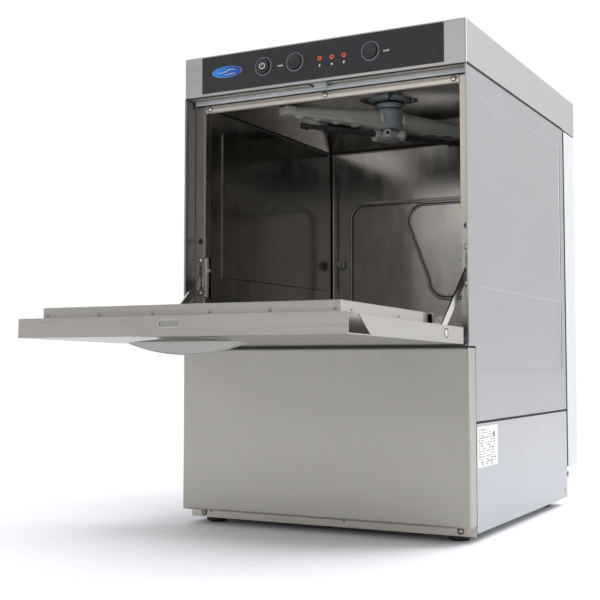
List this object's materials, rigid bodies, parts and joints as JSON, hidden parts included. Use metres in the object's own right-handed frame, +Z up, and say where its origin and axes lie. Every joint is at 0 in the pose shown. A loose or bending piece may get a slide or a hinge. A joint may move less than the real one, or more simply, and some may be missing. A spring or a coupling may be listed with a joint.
{
  "type": "commercial dishwasher",
  "caption": "Undercounter commercial dishwasher with a drop-down door on stay arms, raised control hood, rotating wash and rinse arms, rack guides and a pump tank under the wash chamber.",
  "frame": {"origin": "on the floor, under the middle of the whole outline with the door open", "axes": "+X to the machine's right as seen from the front, +Y from the open door towards the back, +Z up"},
  "size_m": [0.45, 0.928, 0.7],
  "materials": {
    "brushed_steel": "brushed stainless sheet",
    "bright_steel": "bright stainless",
    "chamber_steel": "smooth stainless, wet side",
    "zinc": "zinc plated, dull",
    "pale_cover": "pale powder coat",
    "fascia_film": "fine textured film",
    "black_plastic": "moulded",
    "grey_plastic": "moulded",
    "light_grey_plastic": "moulded",
    "rubber": "matt",
    "seal_rubber": "smooth",
    "orange_lens": "translucent lens",
    "circuit_board": "laminate"
  },
  "bodies": {
    "machine": {"front_panel": "brushed_steel", "left_side_panel": "brushed_steel", "right_side_panel": "brushed_steel", "left_lower_cover": "brushed_steel", "right_lower_cover": "brushed_steel", "top_hood": "brushed_steel", "back_panel": "brushed_steel", "kick_rail": "bright_steel", "left_frame_channel": "bright_steel", "right_frame_channel": "bright_steel", "frame_sill": "bright_steel", "frame_top_strip": "bright_steel", "left_rack_guide": "bright_steel", "right_rack_guide": "bright_steel", "tank_filter": "bright_steel", "boiler": "bright_steel", "tub": "chamber_steel", "tub_ceiling": "chamber_steel", "tank": "chamber_steel", "base_frame": "zinc", "rear_cover": "pale_cover", "control_fascia": "fascia_film", "wash_pump": "black_plastic", "riser_pipe": "black_plastic", "inlet_valve": "black_plastic", "drain_outlet": "black_plastic", "cable_gland": "black_plastic", "upper_hub": "grey_plastic", "lower_hub": "grey_plastic", "left_arm_guide": "grey_plastic", "right_arm_guide": "grey_plastic", "latch_housing": "light_grey_plastic", "detergent_inlet": "light_grey_plastic", "front_left_foot": "rubber", "front_right_foot": "rubber", "rear_left_foot": "rubber", "rear_right_foot": "rubber", "top_seal": "seal_rubber", "lamp_1": "orange_lens", "lamp_2": "orange_lens", "lamp_3": "orange_lens", "control_board": "circuit_board"},
    "door": {"door_outer_panel": "brushed_steel", "door_inner_liner": "brushed_steel", "door_handle": "brushed_steel", "left_hinge": "zinc", "right_hinge": "zinc"},
    "left_stay": {"left_stay_arm": "bright_steel", "left_stay_spring": "zinc"},
    "right_stay": {"right_stay_arm": "bright_steel", "right_stay_spring": "zinc"},
    "power_key": {"power_button": "black_plastic"},
    "program_key": {"program_button": "black_plastic"},
    "start_key": {"start_button": "black_plastic"},
    "latch": {"latch_plunger": "light_grey_plastic"},
    "upper_wash": {"upper_wash_arm": "grey_plastic"},
    "upper_rinse": {"upper_rinse_arm": "grey_plastic"},
    "lower_wash": {"lower_wash_arm": "grey_plastic"},
    "lower_rinse": {"lower_rinse_arm": "grey_plastic"},
    "standpipe": {"overflow_pipe": "black_plastic"}
  },
  "joints": [
    {"name": "door_hinge", "type": "hinge", "parent": "machine", "child": "door", "pos_m": [0, -0.09597, 0.269], "axis": [-1, 0, 0], "range_deg": [0, 89.1]},
    {"name": "left_stay_pivot", "type": "hinge", "parent": "door", "child": "left_stay", "pos_m": [-0.21375, -0.17888, 0.2753], "axis": [-1, 0, 0], "range_deg": [-70, 0]},
    {"name": "right_stay_pivot", "type": "hinge", "parent": "door", "child": "right_stay", "pos_m": [0.21375, -0.17888, 0.2753], "axis": [-1, 0, 0], "range_deg": [-70, 0]},
    {"name": "power_press", "type": "slide", "parent": "machine", "child": "power_key", "axis": [0, 1, 0], "range_m": [0, 0.003], "stiffness_N_per_m": 300, "springref_m": -0.002},
    {"name": "program_press", "type": "slide", "parent": "machine", "child": "program_key", "axis": [0, 1, 0], "range_m": [0, 0.003], "stiffness_N_per_m": 300, "springref_m": -0.002},
    {"name": "start_press", "type": "slide", "parent": "machine", "child": "start_key", "axis": [0, 1, 0], "range_m": [0, 0.003], "stiffness_N_per_m": 300, "springref_m": -0.002},
    {"name": "latch_slide", "type": "slide", "parent": "machine", "child": "latch", "axis": [0, 0, 1], "range_m": [0, 0.0065], "stiffness_N_per_m": 200, "springref_m": -0.004},
    {"name": "upper_wash_spin", "type": "hinge", "parent": "machine", "child": "upper_wash", "pos_m": [0, 0.15703, 0.6327], "axis": [0, 0, 1], "continuous": true},
    {"name": "upper_rinse_spin", "type": "hinge", "parent": "machine", "child": "upper_rinse", "pos_m": [0, 0.15703, 0.608], "axis": [0, 0, 1], "continuous": true},
    {"name": "lower_wash_spin", "type": "hinge", "parent": "machine", "child": "lower_wash", "pos_m": [0, 0.15703, 0.258], "axis": [0, 0, 1], "continuous": true},
    {"name": "lower_rinse_spin", "type": "hinge", "parent": "machine", "child": "lower_rinse", "pos_m": [0, 0.15703, 0.28], "axis": [0, 0, 1], "continuous": true},
    {"name": "standpipe_lift", "type": "slide", "parent": "machine", "child": "standpipe", "axis": [0, 0, 1], "range_m": [0, 0.04]}
  ],
  "couplings": [
    {"joint": "left_stay_pivot", "follows": "door_hinge", "ratio": -0.7643},
    {"joint": "right_stay_pivot", "follows": "door_hinge", "ratio": -0.7643}
  ]
}
